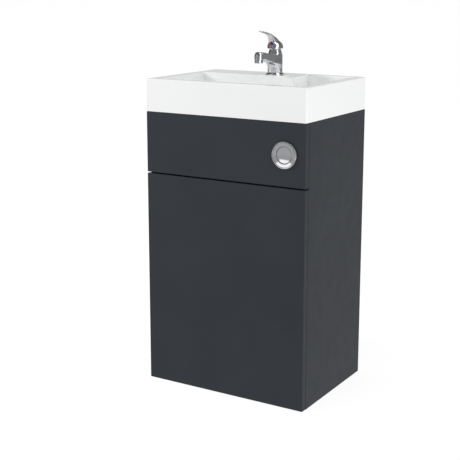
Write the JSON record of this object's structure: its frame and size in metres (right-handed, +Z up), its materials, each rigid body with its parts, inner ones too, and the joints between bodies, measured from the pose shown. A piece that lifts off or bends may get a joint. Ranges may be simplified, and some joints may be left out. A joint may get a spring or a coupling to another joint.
{
  "type": "toilet and basin combination unit",
  "caption": "Slim floor-standing bathroom cabinet with a full-width basin, lever mixer tap and a round push button that flushes the cistern hidden inside.",
  "frame": {"origin": "middle of the footprint, on the floor", "axes": "+X to the right seen from the front, +Y to the back (the wall), +Z up"},
  "size_m": [0.5, 0.3676, 1.0049],
  "materials": {
    "cabinet_grey": "satin anthracite foil on board",
    "carcass_board": "plain grey board",
    "dowel_wood": "raw fluted beech",
    "zinc_steel": "zinc plated",
    "white_plastic": "fine moulded",
    "glazed_white": "gloss white glaze",
    "chrome": "polished",
    "black_rubber": "matt",
    "cartridge_plastic": "moulded",
    "brass": "machined",
    "index_plastic": "gloss",
    "braided_hose": "braided steel over rubber",
    "clear_hose": "clear flexible tube",
    "cistern_plastic": "moulded with fine texture",
    "valve_plastic": "moulded"
  },
  "bodies": {
    "cabinet": {"side_panel_left": "cabinet_grey", "side_panel_right": "cabinet_grey", "top_front_rail": "carcass_board", "top_back_rail": "carcass_board", "mid_front_rail": "carcass_board", "cistern_rail": "carcass_board", "bottom_front_rail": "carcass_board", "bottom_back_rail": "carcass_board", "rail_dowels": "dowel_wood", "rail_cam_fasteners": "zinc_steel", "upper_front_panel": "cabinet_grey", "front_fixing_blocks": "white_plastic", "fixing_screws": "zinc_steel", "panel_catch_sockets": "white_plastic", "floor_brackets": "zinc_steel", "basin": "glazed_white", "waste_flange": "chrome", "waste_seal": "black_rubber", "waste_backnut": "white_plastic", "trap_nuts": "white_plastic", "trap_body": "white_plastic", "trap_cup": "white_plastic", "trap_outlet_pipe": "white_plastic", "tap_base_ring": "chrome", "tap_body": "chrome", "tap_cartridge": "cartridge_plastic", "tap_dome_nut": "chrome", "aerator_ring": "chrome", "aerator_insert": "cartridge_plastic", "tap_stud": "brass", "tap_horseshoe_washer": "zinc_steel", "tap_stud_nut": "brass", "tap_tails": "braided_hose", "tail_clips": "white_plastic", "flush_bezel": "chrome", "flush_backnut": "white_plastic", "full_flush_spring": "zinc_steel", "half_flush_spring": "zinc_steel", "air_pump_body": "white_plastic", "air_hoses": "clear_hose", "cistern_tank": "cistern_plastic", "fill_valve_body": "white_plastic", "flush_valve_body": "white_plastic", "cistern_backnuts": "white_plastic", "flush_pipe": "white_plastic"},
    "lower_panel": {"lower_front_panel": "cabinet_grey", "panel_catch_studs": "zinc_steel"},
    "tap_swivel": {"tap_carrier": "cartridge_plastic", "tap_pivot_pin": "zinc_steel"},
    "tap_lever": {"tap_stem": "brass", "tap_handle": "chrome", "tap_index_cap": "index_plastic", "tap_index_screw": "zinc_steel"},
    "flush_ring": {"full_flush_ring": "chrome"},
    "flush_centre": {"half_flush_button": "chrome"},
    "plug": {"waste_plug": "chrome"},
    "float": {"fill_valve_float": "valve_plastic"},
    "float_arm": {"fill_valve_arm": "valve_plastic"},
    "flush_lift": {"flush_valve_tube": "valve_plastic"},
    "cistern_cover": {"cistern_lid": "cistern_plastic"}
  },
  "joints": [
    {"name": "panel_pull", "type": "slide", "parent": "cabinet", "child": "lower_panel", "axis": [0, -1, 0], "range_m": [0, 0.03]},
    {"name": "tap_turn", "type": "hinge", "parent": "cabinet", "child": "tap_swivel", "pos_m": [-0.01, 0.12575, 0.938], "axis": [0, 0, 1], "range_deg": [-45, 45]},
    {"name": "tap_lift", "type": "hinge", "parent": "tap_swivel", "child": "tap_lever", "pos_m": [-0.01, 0.12575, 0.938], "axis": [-1, 0, 0], "range_deg": [0, 22]},
    {"name": "full_flush", "type": "slide", "parent": "cabinet", "child": "flush_ring", "axis": [0, 1, 0], "range_m": [0, 0.005], "stiffness_N_per_m": 400, "springref_m": -0.006, "deforming": ["full_flush_spring"]},
    {"name": "half_flush", "type": "slide", "parent": "cabinet", "child": "flush_centre", "axis": [0, 1, 0], "range_m": [0, 0.005], "stiffness_N_per_m": 300, "springref_m": -0.006, "deforming": ["half_flush_spring"]},
    {"name": "plug_lift", "type": "slide", "parent": "cabinet", "child": "plug", "axis": [0, 0, 1], "range_m": [0, 0.008]},
    {"name": "float_rise", "type": "slide", "parent": "cabinet", "child": "float", "axis": [0, 0, 1], "range_m": [0, 0.012]},
    {"name": "float_arm_turn", "type": "hinge", "parent": "cabinet", "child": "float_arm", "pos_m": [-0.095, 0.09875, 0.565], "axis": [0, -1, 0], "range_deg": [0, 20.7]},
    {"name": "valve_lift", "type": "slide", "parent": "cabinet", "child": "flush_lift", "axis": [0, 0, 1], "range_m": [0, 0.0151]},
    {"name": "lid_lift", "type": "slide", "parent": "cabinet", "child": "cistern_cover", "axis": [0, 0, 1], "range_m": [0, 0.016]}
  ],
  "couplings": [
    {"joint": "float_arm_turn", "follows": "float_rise", "rad_per_m": 30},
    {"joint": "valve_lift", "follows": "full_flush", "ratio": 3}
  ]
}
